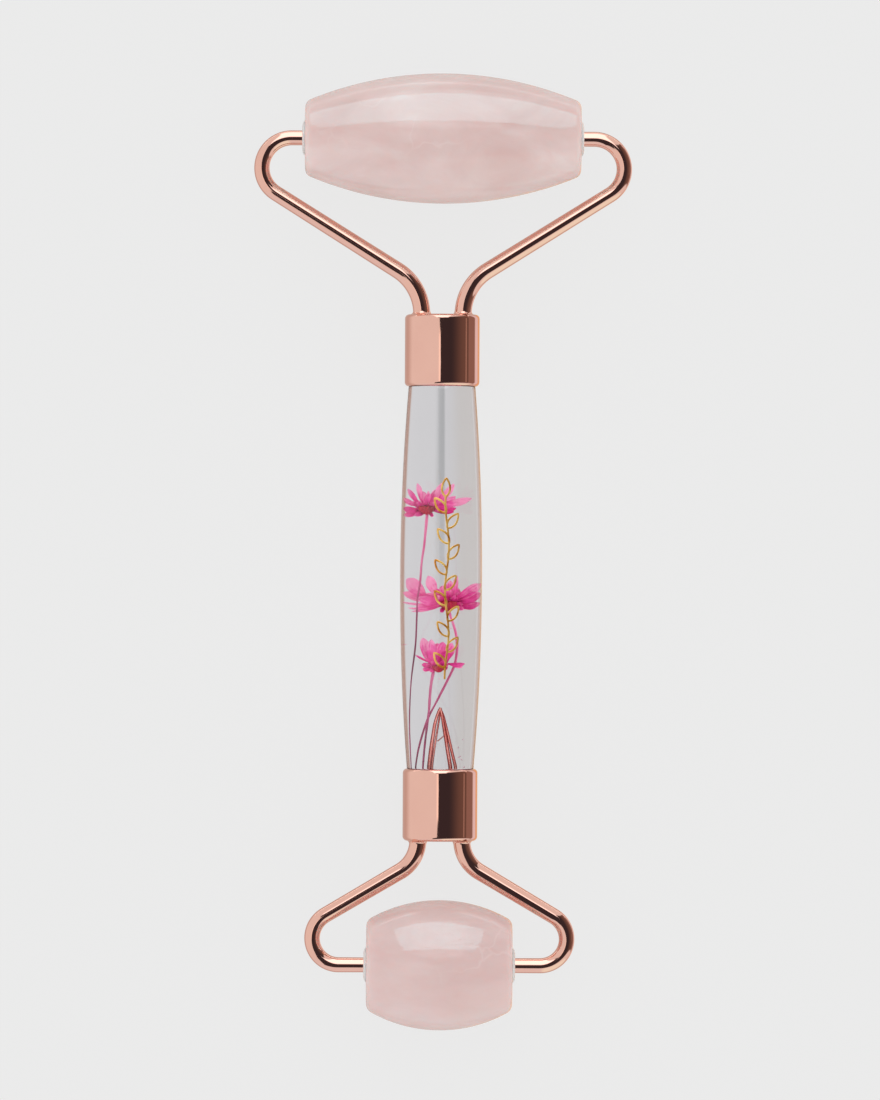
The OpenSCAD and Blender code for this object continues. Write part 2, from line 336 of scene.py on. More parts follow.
def paint(obj, material):
    """Gives a piece one material."""
    obj.data.materials.clear()
    obj.data.materials.append(material)
    return obj


# %% [markdown]
# ## Rose quartz
#
# Rose quartz is cloudy: light goes in, scatters and comes out a few millimetres away, and
# a polished skin still mirrors the lamps. Subsurface scattering gives the depth. The
# colour drifts slowly between a warm and a pale pink, milky threads run through it, and a
# very small change of roughness keeps the polish from looking like plastic.

# %% Rose quartz material
def rose_quartz():
    """Slow clouds for the pinks, the edges of a cell pattern, bent and faded in places,
    for the milky threads, and a drift along Y that makes the small stone a little deeper."""
    material, node, put = new_material("rose_quartz")
    place = own_place(node)
    turned = node("Mapping", {"Vector": place, "Rotation": (0.3, 0.5, 0.9),
                              "Scale": (1, 1.8, 1.3)}).outputs[0]
    clouds = noise(node, turned, 75, 5, Roughness=0.55, Distortion=0.7)
    pinks = ramp(node, clouds, [(0.30, (0.765, 0.575, 0.550)), (0.5, (0.80, 0.638, 0.614)),
                                (0.70, (0.84, 0.710, 0.690))])
    warp = node("TexNoise", {"Vector": place, "Scale": 120, "Detail": 3}).outputs["Color"]
    bent = node("MixRGB", {"Fac": 0.012, "Color1": place, "Color2": warp}, blend_type="ADD").outputs[0]
    cells = node("TexVoronoi", {"Vector": bent, "Scale": 95}, feature="DISTANCE_TO_EDGE")
    thread = ramp(node, cells.outputs["Distance"], [(0.0, 0.22), (0.03, 0.0), (1.0, 0.0)])
    where = ramp(node, noise(node, place, 60), [(0.56, 0.0), (0.66, 1.0)])
    threads = maths(node, "MULTIPLY", thread, where)
    small_end = node("MapRange", {"Value": one_axis(node, place, "Y"), "From Min": -0.05,
                                  "From Max": 0.05, "To Min": 0.38, "To Max": 0.0}).outputs["Result"]
    deeper = mix(node, small_end, pinks, (0.745, 0.540, 0.525))
    polish = noise(node, place, 260, 4)
    put(Base_Color=mix(node, threads, deeper, (0.93, 0.85, 0.83)),
        Roughness=ramp(node, polish, [(0.3, 0.03), (0.7, 0.06)]), IOR=1.544, Specular_IOR_Level=0.3,
        Subsurface_Weight=1.0, Subsurface_Radius=(1.0, 0.62, 0.56), Subsurface_Scale=0.0035)
    return material


quartz = rose_quartz()

# %% [markdown]
# ## The two stones
#
# A stone is a drilled barrel. A stretched sphere with a Boolean hole would come close, but
# its ends would be pointed. So a stone is spun from its section: a long crown arc, a small
# edge arc that touches it, a flat end, and the wall of the hole. The crown's radius tells
# the large stone from the small one: the small one is rounder.

# %% Stones
CROWN_R = {"large": 52.5, "small": 21.0}
EDGE_R = {"large": 1.3, "small": 1.5}
STONE_BORE_R = 2.1


def stone_section(half, crown_r, edge_r):
    """Closed section of a stone. The edge arc's centre lies at the distance crown_r -
    edge_r from the crown's centre, which is where two arcs touch without a corner."""
    crown_y = stone_r - crown_r
    edge_x = half - edge_r
    edge_y = crown_y + math.sqrt((crown_r - edge_r) ** 2 - edge_x ** 2)
    touch = math.degrees(math.atan2(edge_y - crown_y, edge_x))
    right = [arc((edge_x, edge_y), edge_r, 0, touch, 14)[:-1],
             arc((0, crown_y), crown_r, touch, 90, 40)[:-1]]
    quarter = np.vstack([[[half, STONE_BORE_R], [half, (STONE_BORE_R + edge_y) / 2]], *right])
    mirrored = quarter[::-1] * (-1, 1)
    return np.vstack([quarter, [[0, stone_r]], mirrored])


stones = {}
for end in ENDS:
    section = stone_section(stone_half[end], CROWN_R[end], EDGE_R[end])
    stone = make_mesh(f"{end}_polished_stone",
                      [spun(section, "x", (0, axle_y[end], axle_z), steps=256, loop=True)])
    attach(paint(stone, quartz), f"{end}_roller")
    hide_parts(f"{end}_stone")
    stones[end] = stone

# %% [markdown]
# ## Bushes
#
# A translucent plastic bush closes each end of a stone's hole and carries the arm's tip.
# Only its low domed flange shows. One closed section makes the sleeve, the flange and the
# hole together, so nothing has to be cut out. The plastic is milky, so it gets a little
# scattering of its own.

# %% Bushes
FLANGE_R = 2.6
FLANGE_T = 0.42
BUSH_BORE_R = 1.17
FLANGE_RIM = 0.35                            # flat ring between the bore and the dome
GLUE = 0.02                                  # film between the flange and the stone
SLEEVE_PLAY = 0.03                           # sleeve's gap in the stone's bore
BORE_CHAMFER = 0.1
BUSH_DEPTH = {"large": 6.0, "small": 5.0}


def milky_plastic():
    """A slight haze in the colour and the gloss, over a short scattering."""
    material, node, put = new_material("bush_plastic")
    haze = noise(node, own_place(node), 500, 3)
    put(Base_Color=ramp(node, haze, [(0.3, (0.94, 0.78, 0.74)), (0.7, (0.97, 0.87, 0.84))]),
        Roughness=ramp(node, haze, [(0.3, 0.26), (0.7, 0.38)]), IOR=1.5, Specular_IOR_Level=0.15,
        Subsurface_Weight=0.8, Subsurface_Radius=(1.0, 0.8, 0.75), Subsurface_Scale=0.001)
    return material


def bush_section(side, half, depth):
    """Closed section of a top-hat bush at one end of a stone: sleeve, then a flange whose
    face is a quarter of an ellipse, then the hole for the arm's tip."""
    dome = arc((0, 0), 1, 0, 90, 10)
    rim_r = BUSH_BORE_R + FLANGE_RIM
    face = np.stack([half + GLUE + FLANGE_T * dome[:, 1], rim_r + (FLANGE_R - rim_r) * dome[:, 0]], 1)
    sleeve_r = STONE_BORE_R - SLEEVE_PLAY
    section = np.vstack([[[half - depth, BUSH_BORE_R], [half - depth, sleeve_r],
                          [half + GLUE, sleeve_r]], face, [[half + FLANGE_T - BORE_CHAMFER, BUSH_BORE_R]]])
    return section * (side, 1)


bush_plastic = milky_plastic()
for end in ENDS:
    for side, sign in SIDES.items():
        section = bush_section(sign, stone_half[end], BUSH_DEPTH[end])
        bush = make_mesh(f"{end}_domed_bush_{side}",
                         [spun(section, "x", (0, axle_y[end], axle_z), steps=96, loop=True)])
        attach(paint(bush, bush_plastic), f"{end}_roller")
        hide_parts(f"{end}_bush_{side}")

# %% [markdown]
# ## Rose gold
#
# The arms and ferrules are plated and polished, so what they show is mostly the studio.
# The plating itself adds little: a warm pink metal, and a roughness that changes very
# slightly where fingers have been. Fine hairlines run in the bump only, far too shallow
# to see unless a lamp rakes over them.

# %% Rose gold material
def rose_gold():
    """Two greys of roughness, smudges and fine specks, mixed three to one, and hairlines
    from clouds that are squeezed along Y."""
    material, node, put = new_material("rose_gold")
    place = own_place(node)
    smudge = noise(node, place, 180, 4, Distortion=0.4)
    specks = ramp(node, noise(node, place, 2600), [(0.4, 0.03), (0.7, 0.12)])
    lines = node("Mapping", {"Vector": place, "Scale": (900, 60, 900)}).outputs[0]
    rough = mix(node, 0.25, ramp(node, smudge, [(0.35, 0.035), (0.75, 0.085)]), specks)
    put(Base_Color=ramp(node, smudge, [(0.3, (0.865, 0.515, 0.415)), (0.7, (0.84, 0.49, 0.395))]),
        Metallic=1.0, Roughness=rough, Normal=bump(node, noise(node, lines, 4), 0.012, 0.00002))
    return material


plating = rose_gold()

# %% [markdown]
# ## Fork arms
#
# Each arm is one bar that gets thinner from the ferrule to the stone. A bevelled curve with
# handles set by eye could follow it. Here its centre line is worked out instead: two arcs
# joined by the straight that touches both, one on each side, so the line has no corner.
# The bar is swept along it with a radius that falls smoothly.

# %% Arms
FOOT_X = {"large": 3.1, "small": 3.3}
NECK_R = {"large": 7.8, "small": 5.4}
BEND_R = {"large": 4.5, "small": 4.0}
TIP_R = 1.12
ROOT_R = 1.28
TIP_IN_STONE = 4.4
FOOT_LEN = 4.4
TIP_CHAMFER = 0.25


def arm_path(end):
    """Centre line of the arm on the +X side in the plane of the fork, from its foot to its
    tip. Its y counts from the ferrule's end face towards the stone."""
    height = abs(axle_y[end] - face_y[end])
    reach = box_mm(f"{end}_arm_right")[1][0] - TIP_R
    neck = np.array([FOOT_X[end] + NECK_R[end], 0])
    bend = np.array([reach - BEND_R[end], height - BEND_R[end]])
    across = bend - neck
    slope = math.degrees(math.atan2(across[1], across[0])
                         - math.asin((NECK_R[end] + BEND_R[end]) / np.hypot(*across)))
    foot = np.stack([np.full(12, FOOT_X[end]), np.linspace(-FOOT_LEN, 0, 12, endpoint=False)], 1)
    neck_arc = arc(neck, NECK_R[end], 180, 90 + slope, 28)
    bend_arc = arc(bend, BEND_R[end], slope - 90, 90, 56)
    share = np.linspace(0, 1, 26)[1:-1, None]
    straight = neck_arc[-1] * (1 - share) + bend_arc[0] * share
    tip = np.linspace([bend[0], height], [stone_half[end] - TIP_IN_STONE, height], 16)[1:]
    return np.vstack([foot, neck_arc, straight, bend_arc, tip])


def arm(end, side):
    """One arm: the centre line, turned to its end and side, and a radius that eases from
    the root's to the tip's over the length of the bar."""
    path = arm_path(end)
    walked = np.concatenate([[0], np.cumsum(np.hypot(*np.diff(path, axis=0).T))])
    share = np.clip((walked - FOOT_LEN) / (walked[-1] - FOOT_LEN - TIP_IN_STONE), 0, 1)
    radii = ROOT_R + (TIP_R - ROOT_R) * share ** 0.8
    radii[-1] = TIP_R - TIP_CHAMFER
    place = np.stack([side * path[:, 0], face_y[end] + TOWARDS[end] * path[:, 1],
                      np.full(len(path), axle_z)], 1)
    return swept(place, radii, sides=48)


for end in ENDS:
    for side, sign in SIDES.items():
        bar = make_mesh(f"{end}_plated_arm_{side}", [arm(end, sign)])
        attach(paint(bar, plating), "handle_frame")
        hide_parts(f"{end}_arm_{side}")

# %% [markdown]
# ## Ferrules and braze
#
# A ferrule is a drawn cup: one closed end, rounded outer edges, and a socket for the
# handle. A Bevel modifier on a cylinder would round the edges too, but a spun section
# gives each edge its own radius. The braze is a small hollow fillet where each arm leaves
# the ferrule's end, and it is spun about the arm.

# %% Ferrules and braze
FERRULE_EDGE_R = 0.65
SOCKET_R = 4.6
END_T = 1.4
MOUTH_CHAMFER = 0.12
BRAZE_R = 0.55
BRAZE_INTO_ARM, BRAZE_INTO_FERRULE = 0.1, 0.05


def ferrule_section(end):
    """Section of a ferrule along Y, from the outside of its closed end, round the outer
    edges to the mouth, and back along the socket."""
    e = FERRULE_EDGE_R
    outer = [arc((ferrule_len - e, ferrule_r - e), e, 0, 90, 14),
             arc((e, ferrule_r - e), e, 90, 180, 14)]
    section = np.vstack([[[ferrule_len, 0], [ferrule_len, 2]], *outer,
                         [[0, SOCKET_R + MOUTH_CHAMFER], [MOUTH_CHAMFER, SOCKET_R]],
                         [[ferrule_len - END_T, SOCKET_R], [ferrule_len - END_T, 0]]])
    return section * (TOWARDS[end], 1)


def braze_section():
    """Closed section of a fillet round an arm: a hollow quarter arc, and two hidden sides."""
    hollow = arc((BRAZE_R, ROOT_R + BRAZE_R), BRAZE_R, 180, 270, 12)
    inside, under = ROOT_R - BRAZE_INTO_ARM, -BRAZE_INTO_FERRULE
    return np.vstack([hollow, [[BRAZE_R, inside], [under, inside], [under, ROOT_R + BRAZE_R]]])


for end in ENDS:
    cup = make_mesh(f"{end}_plated_ferrule",
                    [spun(ferrule_section(end), "y", (0, mouth_y[end], axle_z))])
    ring = make_mesh(f"{end}_braze_fillets",
                     [spun(braze_section() * (TOWARDS[end], 1), "y",
                           (sign * FOOT_X[end], face_y[end], axle_z), steps=64, loop=True)
                      for sign in SIDES.values()])
    for piece, node in ((cup, f"{end}_ferrule"), (ring, f"{end}_braze")):
        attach(paint(piece, plating), "handle_frame")
        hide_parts(node)

# %% [markdown]
# ## Potting resin
#
# A plug of filled resin holds the arms' feet inside each ferrule. Nothing of it shows,
# but it still gets a finish, for whoever takes the roller apart.

# %% Potting plugs
def filled_resin():
    """A fine grain, as of a mineral filler."""
    material, node, put = new_material("potting_resin")
    grain = noise(node, own_place(node), 1500, 3)
    put(Base_Color=ramp(node, grain, [(0.3, (0.52, 0.49, 0.42)), (0.7, (0.66, 0.63, 0.56))]),
        Roughness=ramp(node, grain, [(0.3, 0.4), (0.7, 0.6)]))
    return material


potting = filled_resin()
for end in ENDS:
    paint(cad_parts[f"{end}_potting"], potting)

# %% [markdown]
# ## The clear handle
#
# The handle is cast clear resin, turned to a long barrel and polished. Light bends as it
# goes in and out, so the handle works as a strong lens: it makes the flowers look half as
# wide again as they are. That is why they are modelled narrower than they appear. The
# spigots run on inside the ferrules.

# %% Handle
GRIP_END_R = 5.0
GRIP_MID_R = 6.15
SHOULDER_R = 0.08
SPIGOT_GAP = 0.02
SPIGOT_CHAMFER = 0.4
RESIN_INDEX = 1.49


def cast_resin():
    """Clear, with a painted reflection: where the surface is seen at a low angle its colour
    turns warm, standing in for the metal beside it mirrored in the resin's edges."""
    material, node, put = new_material("clear_resin")
    smudge = noise(node, own_place(node), 140, 4)
    body = ramp(node, smudge, [(0.3, (0.915, 0.915, 0.920)), (0.7, (0.935, 0.932, 0.935))])
    # painted reflection: the base colour turns warm where the surface is seen at a low angle
    facing = node("LayerWeight", {"Blend": 0.5}).outputs["Facing"]
    painted_edge_reflection = mix(node, ramp(node, facing, [(0.54, 0.0), (0.62, 1.0)]), body, (0.62, 0.42, 0.34))
    put(Base_Color=painted_edge_reflection, Roughness=ramp(node, smudge, [(0.45, 0.0), (0.75, 0.03)]),
        IOR=RESIN_INDEX, Specular_IOR_Level=0.15, Transmission_Weight=1.0)
    return material


def grip_radius(y):
    """Radius of the grip at a distance y from its middle: a long arc through both ends."""
    bulge = GRIP_MID_R - GRIP_END_R
    arc_r = ((grip_len / 2) ** 2 + bulge ** 2) / (2 * bulge)
    return GRIP_MID_R - arc_r + np.sqrt(arc_r ** 2 - np.square(y))


def handle_section():
    """Section of the handle along Y: end, spigot, shoulder, grip, and the same again."""
    y = np.linspace(0, grip_len / 2 - SHOULDER_R, 60)
    grip = np.stack([y, grip_radius(y)], 1)
    shoulder = arc((grip_len / 2 - SHOULDER_R, GRIP_END_R - SHOULDER_R), SHOULDER_R, 90, 0, 8)[1:]
    spigot_r = SOCKET_R - SPIGOT_GAP
    end = grip_len / 2 + spigot_len
    spigot = [[grip_len / 2, spigot_r], [end - SPIGOT_CHAMFER, spigot_r],
              [end, spigot_r - SPIGOT_CHAMFER], [end, 0]]
    half = np.vstack([grip, shoulder, spigot])
    return np.vstack([half[::-1], half[1:] * (-1, 1)])


handle = make_mesh("clear_barrel_handle", [spun(handle_section(), "y", (0, grip_y, axle_z), steps=256)])
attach(paint(handle, cast_resin()), "handle_frame")
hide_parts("handle")


# %% [markdown]
# ## Seeing through the handle
#
# The flowers are known by how they look from the front, not by where they are. Snell's
# law gives the way back. A ray that meets the resin at a distance X from the axis turns
# towards the axis by asin(X / r) - asin(X / (n r)), so deeper down it has come closer by
# the tangent of that angle. Every flower is drawn as seen, and then each of its points
# moves sideways to its true place.

# %% From seen to true places
CLEARANCE = 0.3                              # least resin over a flower
NEAR_EDGE = 0.985                            # furthest share of the radius that is traced


def through_grip(seen):
    """Moves points from where they are seen to where they are. Coordinates are x and z
    from the handle's axis and the object's own y. A point that would come out of the
    resin is pulled back towards the axis."""
    x, y, z = np.asarray(seen, float).T
    r = grip_radius(y - grip_y)
    share = np.clip(x / r, -NEAR_EDGE, NEAR_EDGE)
    bend = np.arcsin(share) - np.arcsin(share / RESIN_INDEX)
    x = share * r - (r * np.sqrt(1 - share ** 2) - z) * np.tan(bend)
    pull = np.minimum(1, (r - CLEARANCE) / np.hypot(x, z).clip(0.01))
    return np.stack([x * pull, y, z * pull + axle_z], 1)


def seen_through(part):
    """The same move for a whole surface."""
    return (through_grip(part[0]), *part[1:])


for seen_x in (1.0, 3.0, 5.0):
    true_x = through_grip([(seen_x, grip_y, 0)])[0, 0]
    print(f"seen {seen_x:.1f} mm off the axis, it lies {true_x:.2f} mm off it")

# %% [markdown]
# ## Dried petals
#
# The dye has settled in the petals' veins and throats and faded towards their tips. The
# colour follows the petal's own uv: u runs from base to tip, v from edge to edge. A
# number kept on each petal makes it a paler or a deeper one.

# %% Petal material
def dried_petal():
    """depth = 0.55 * tone + 0.52 * u + 0.95 * veins + 0.65 * fading - 0.58 picks the pink,
    so bases are deep, tips pale, and both kinds of noise break that up."""
    material, node, put = new_material("dried_petal")
    along = one_axis(node, own_uv(node), "X")
    tone = node("Attribute", attribute_name="tone", attribute_type="GEOMETRY").outputs["Fac"]
    stretched = node("Mapping", {"Vector": own_uv(node), "Scale": (1.2, 17, 1)}).outputs[0]
    veins = noise(node, stretched, 1.6, 3)
    faded = noise(node, own_place(node), 900, 3)
    depth = maths(node, "MULTIPLY_ADD", tone, 0.55, maths(node, "MULTIPLY", along, 0.52))
    depth = maths(node, "MULTIPLY_ADD", veins, 0.95, depth)
    depth = maths(node, "MULTIPLY_ADD", faded, 0.65, depth)
    colour = ramp(node, maths(node, "SUBTRACT", depth, 0.58),
                  [(0.28, (0.34, 0.002, 0.075)), (0.46, (0.62, 0.009, 0.195)), (0.70, (0.79, 0.042, 0.305)),
                   (0.90, (0.86, 0.135, 0.420)), (1.0, (0.93, 0.34, 0.57))])
    put(Base_Color=colour, Roughness=ramp(node, faded, [(0.3, 0.5), (0.7, 0.7)]),
        Normal=bump(node, veins, 0.4, 0.00004), Specular_IOR_Level=0.3)
    return material


petal_paint = dried_petal()

# %% [markdown]
# ## One petal
#
# A dried petal is a thin strap that curls as it likes. It could be sculpted, but there are
# over a hundred of them, so one formula makes them all. A petal is a grid: u goes from the
# base to the tip, and t goes round the thin section. Its middle line is a quadratic curve
# that leaves the flower low and lifts to the tip. It is narrow at the base, widest past
# the middle, and round or slightly notched at the tip.

# %% A petal as a function of two parameters
PETAL_ROWS, PETAL_COLS = 26, 22
PETAL_T = 0.07
TEETH = 0.06                                 # depth of the frayed tip, as a share of the length


def petal(base, tip, half_width, tone, shape):
    """point = middle(u) + width(u) * s * across + (cup * s^2 * width(u) + ripple + half the
    thickness * sin t) * normal, with s = cos t. middle(u) is a quadratic curve that sags
    between base and tip. The tip is cut back by a notch in its middle and by small teeth,
    both growing with u^6. shape holds the roll, cup, sag, notch, the ripple's phase and
    how pointed the tip is."""
    roll, cup, sag, notch, phase, blunt = shape
    base, tip = np.asarray(base, float), np.asarray(tip, float)
    length = np.linalg.norm(tip - base)
    control = (base + tip) / 2 + sag * length * np.array([0, -1, 0.2 * np.sign(tip[2])])
    u = np.linspace(0, 1, PETAL_ROWS)[:, None]
    middle = (1 - u) ** 2 * base + 2 * u * (1 - u) * control + u ** 2 * tip
    along = np.gradient(middle, axis=0)
    along /= np.linalg.norm(along, axis=1, keepdims=True)
    flat = np.cross(along, [0, 0, 1])
    flat /= np.linalg.norm(flat, axis=1, keepdims=True).clip(0.05)
    across = math.cos(roll) * flat + math.sin(roll) * np.cross(along, flat)
    normal = np.cross(across, along)
    grow = 0.3 + 0.7 * np.sin(np.minimum(u / 0.6, 1) * math.pi / 2)
    rounded = np.clip(1 - ((u - 0.6) / 0.4).clip(0) ** 2.2, 0, 1) ** (0.5 + blunt)
    width = half_width * grow * np.maximum(rounded, 0.03)
    t = np.linspace(0, TAU, PETAL_COLS, endpoint=False)[None, :]
    s = np.cos(t)
    thin = PETAL_T / 2 * np.minimum(1, 1.2 - u)
    ripple = 0.10 * half_width * np.sin(3.2 * math.pi * u + phase) * s
    lift = cup * s ** 2 * width + ripple + thin * np.sin(t)
    teeth = TEETH * np.sin(7.5 * s + phase) ** 2
    back = -length * (notch * np.exp(-(s / 0.35) ** 2) + teeth) * u ** 6
    grid = (middle[:, None, :] + (width * s)[..., None] * across[:, None, :]
            + lift[..., None] * normal[:, None, :] + back[..., None] * along[:, None, :])
    ends = grid[[0, -1]].mean(1)
    points, faces = closed_tube(grid, ends)
    uv = np.stack(np.broadcast_arrays(u, s / 2 + 0.5), -1).reshape(-1, 2)
    uv = np.vstack([uv, [[0, 0.5], [1, 0.5]]])
    return points, faces, np.hstack([uv, np.full((len(uv), 1), tone)])


# %% [markdown]
# ## Three flower heads
#
# A row of the table is one petal as seen: x and y of its base and of its tip, the height
# of the tip over the handle's axis, half its width, and how faded it is. The little
# irregularities come from a seeded generator, so they are the same at each run. Rows with
# tips far below the axis are for the views from behind.

# %% Petal tables
FLOWERS = {
    "upper": [
        (-2.9, 7.33, -3.67, 10.28, 1.6, 0.44, 0.95), (-3.43, 7.12, -5.11, 9.41, 0.6, 0.39, 0.6),
        (-3.57, 6.9, -5.77, 7.98, -0.6, 0.42, 0.7), (-3.36, 6.26, -5.77, 6.54, 0.5, 0.5, 0.35),
        (-3.22, 5.97, -5.66, 5.47, -0.4, 0.43, 0.5), (-2.35, 6.69, -1.95, 9.1, 1.9, 0.47, 0.55),
        (-2.71, 6.83, -2.64, 8.91, -1.8, 0.36, 0.75), (-1.85, 6.76, -0.99, 9.27, -1.2, 0.43, 0.6),
        (-1.49, 6.83, 0.09, 10.28, -1.9, 0.5, 0.85), (-0.92, 6.97, 1.95, 10.13, -1.4, 0.54, 0.9),
        (-0.92, 6.9, 4.61, 8.01, 0.6, 0.56, 0.95), (-1.06, 6.69, 2.53, 7.33, 1.5, 0.5, 0.5),
        (-1.21, 6.4, 2.31, 6.54, 0.3, 0.47, 0.15), (-1.35, 6.18, 1.95, 5.97, -0.9, 0.36, 0.1),
        (-2.35, 5.97, -4.08, 5.42, 1.2, 0.36, 0.3), (-1.92, 5.9, -1.13, 5.37, 1.0, 0.32, 0.2),
        (-2.1, 6.5, -2.9, 9.0, -3.2, 0.6, 0.6), (-1.3, 6.5, 0.4, 8.6, -3.4, 0.6, 0.4),
        (-2.6, 6.3, -4.2, 7.6, -2.6, 0.55, 0.5), (-0.9, 6.4, 2.2, 8.3, -2.4, 0.55, 0.6)],
    "middle": [
        (-2.35, -6.81, -5.15, -4.01, 1.2, 1.08, 0.9), (-0.77, -6.38, -2.04, -3.58, 1.9, 0.8, 0.95),
        (0.23, -7.09, -5.8, -6.16, -0.6, 0.68, 0.85), (0.23, -7.24, -3.57, -6.81, 1.4, 0.79, 0.45),
        (0.09, -7.81, -3.72, -8.38, 1.0, 0.6, 0.55), (-0.2, -7.81, -5.87, -7.52, -0.3, 0.19, 0.9),
        (-0.2, -7.95, -5.01, -8.38, -0.9, 0.19, 0.8), (-0.06, -8.1, -4.51, -8.9, 0.2, 0.22, 0.85),
        (1.95, -6.81, 2.41, -3.5, 1.6, 0.44, 0.8), (1.38, -6.81, 1.38, -4.22, -1.6, 0.65, 0.75),
        (0.52, -6.95, 0.09, -5.08, -1.9, 0.57, 0.5), (2.24, -7.09, 6.04, -4.65, 0.3, 0.79, 0.7),
        (2.53, -7.38, 5.97, -6.23, 0.6, 0.75, 0.25), (2.53, -7.67, 5.9, -7.67, -0.4, 0.57, 0.45),
        (2.38, -7.95, 5.25, -8.21, 0.9, 0.36, 0.1), (2.24, -7.95, 3.46, -8.6, 1.2, 0.36, 0.3),
        (0.52, -8.24, -0.13, -8.99, 1.1, 0.36, 0.3), (0.9, -7.2, -1.0, -5.6, -3.4, 0.8, 0.6),
        (1.6, -7.2, 2.6, -5.4, -3.2, 0.8, 0.5), (0.6, -7.4, -2.6, -6.4, -2.8, 0.7, 0.6),
        (2.0, -7.4, 4.0, -6.3, -2.6, 0.7, 0.4), (0.6, -7.3, 0.3, -5.0, 0.8, 0.62, 0.55),
        (1.1, -7.3, 0.9, -5.7, 1.3, 0.55, 0.35), (-0.1, -7.0, -0.9, -5.4, 0.6, 0.5, 0.4)],
    "lower": [
        (-1.63, -16.59, -2.72, -12.81, 1.3, 0.77, 0.7), (-1.26, -16.59, -1.41, -13.03, 1.8, 0.8, 0.6),
        (-0.52, -16.59, 0.37, -13.36, 0.9, 0.89, 0.45), (0.07, -16.59, 1.77, -13.51, -0.5, 0.89, 0.5),
        (-0.67, -16.59, -0.52, -13.55, -1.7, 0.89, 0.2), (0.37, -16.66, 1.11, -14.66, 1.5, 0.82, 0.1),
        (-1.71, -16.51, -3.86, -15.4, 0.5, 0.19, 0.45), (1.11, -16.66, 3.66, -16.68, 0.6, 0.33, 0.4),
        (1.7, -16.96, 3.36, -17.15, -0.5, 0.18, 0.6), (-1.41, -17.03, -2.86, -16.74, -0.6, 0.37, 0.3),
        (-1.26, -17.18, -2.72, -17.51, 0.8, 0.39, 0.3), (-0.82, -17.33, -1.71, -17.85, 1.1, 0.33, 0.4),
        (-0.23, -17.33, -0.45, -17.92, -0.9, 0.33, 0.2), (0.37, -17.33, 0.99, -17.51, 0.9, 0.34, 0.2),
        (-1.0, -16.6, -1.9, -13.8, -2.6, 0.8, 0.6), (0.0, -16.6, 0.9, -13.9, -2.8, 0.8, 0.5)],
}
HEARTS = {"upper": (-2.2, 6.6, 1.9, 0.9), "middle": (1.1, -7.6, 2.3, 1.0), "lower": (-0.4, -17.1, 1.7, 0.8)}
print("long petals:", {name: len(rows) for name, rows in FLOWERS.items()})

# %% Flower heads
SEED = 7
dice = np.random.default_rng(SEED)


def heart_rows(x, y, reach, rise, count=18):
    """The short florets between the long petals: tips on an ellipse round the heart, at
    equal angles, some lifted and some hanging."""
    angle = np.arange(count) * TAU / count + dice.uniform(-0.12, 0.12, count)
    far = reach * dice.uniform(0.75, 1.15, count)
    tips = np.stack([x + far * np.cos(angle), y + rise * dice.uniform(-0.40, 1.25, count),
                     0.75 * far * np.sin(angle)], 1)
    return [(x + 0.15 * (tx - x), y - 0.15, tx, ty, tz, 0.34, dice.uniform(0.05, 0.5))
            for tx, ty, tz in tips]


for name, rows in FLOWERS.items():
    petals = []
    rows = rows + heart_rows(*HEARTS[name])
    for bx, by, tx, ty, tip_z, half_width, tone in rows:
        upright = abs(ty - by) / math.hypot(tx - bx, ty - by)
        shape = (dice.uniform(-0.45, 0.45), dice.uniform(0.15, 0.5),
                 0.10 * (1 - upright) + dice.uniform(-0.03, 0.05),
                 dice.choice([0.0, 0.07, 0.14]), dice.uniform(0, TAU), dice.uniform(0, 0.5))
        petals.append(seen_through(petal((bx, by, 0.2 * tip_z), (tx, ty, tip_z), half_width, tone, shape)))
    head = make_mesh(f"{name}_flower_head", petals, sharp_degrees=80)
    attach(paint(head, petal_paint), "handle_frame")
    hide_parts(f"{name}_flower_petals")

# %% [markdown]
# ## Calyxes and stems
#
# Under each head sits a small ribbed cup, dark red, and from it runs the stem. The stems
# dry unevenly: pink near the flower, brown and thin lower down. Both are swept or spun
# like the metal, and then moved through the lens like the petals.

# %% Calyx and stem materials
def dry_stem(name, light, dark, brown_below=None):
    """A fibrous finish: streaks along Y in two tones, and a fine bump from the same. Over
    the distance brown_below along the stem it turns brown."""
    material, node, put = new_material(name)
    place = own_place(node)
    drawn = node("Mapping", {"Vector": place, "Scale": (1, 0.08, 1)}).outputs[0]
    fibres = noise(node, drawn, 1500, 4)
    patches = noise(node, place, 350)
    mixed = mix(node, 0.5, fibres, patches)
    colour = ramp(node, mixed, [(0.38, dark), (0.62, light)])
    if brown_below:
        walked = one_axis(node, own_uv(node), "X")
        share = node("MapRange", {"Value": walked, "From Min": brown_below * 0.3,
                                  "From Max": brown_below * 1.5}).outputs["Result"]
        brown = ramp(node, mixed, [(0.38, (0.17, 0.014, 0.055)), (0.62, (0.40, 0.045, 0.145))])
        colour = mix(node, share, colour, brown)
    put(Base_Color=colour, Normal=bump(node, fibres, 0.5, 0.00003),
        Roughness=ramp(node, patches, [(0.3, 0.45), (0.7, 0.65)]))
    return material


calyx_paint = dry_stem("dried_calyx", (0.55, 0.008, 0.05), (0.26, 0.003, 0.015))
pink_stem = dry_stem("pink_stem", (0.82, 0.22, 0.42), (0.66, 0.08, 0.26), brown_below=13.0)

# %% [markdown]
# ### The cups under the flowers
#
# A calyx is a small turned shape with ribs. A cosine of the angle on the radius makes
# the ribs, which is quicker than modelling each and just as regular as in nature.

# %% Calyxes
CALYXES = {"upper": (-2.2, 5.5, 0.9, 1.5, 1.2), "middle": (1.13, -8.85, 0.9, 1.55, 1.35),
           "lower": (-0.3, -18.0, 0.6, 1.1, 0.95)}
RIBS = 14
RIB_DEPTH = 0.05
CALYX_FLAT = 0.7                             # depth of a cup over its width


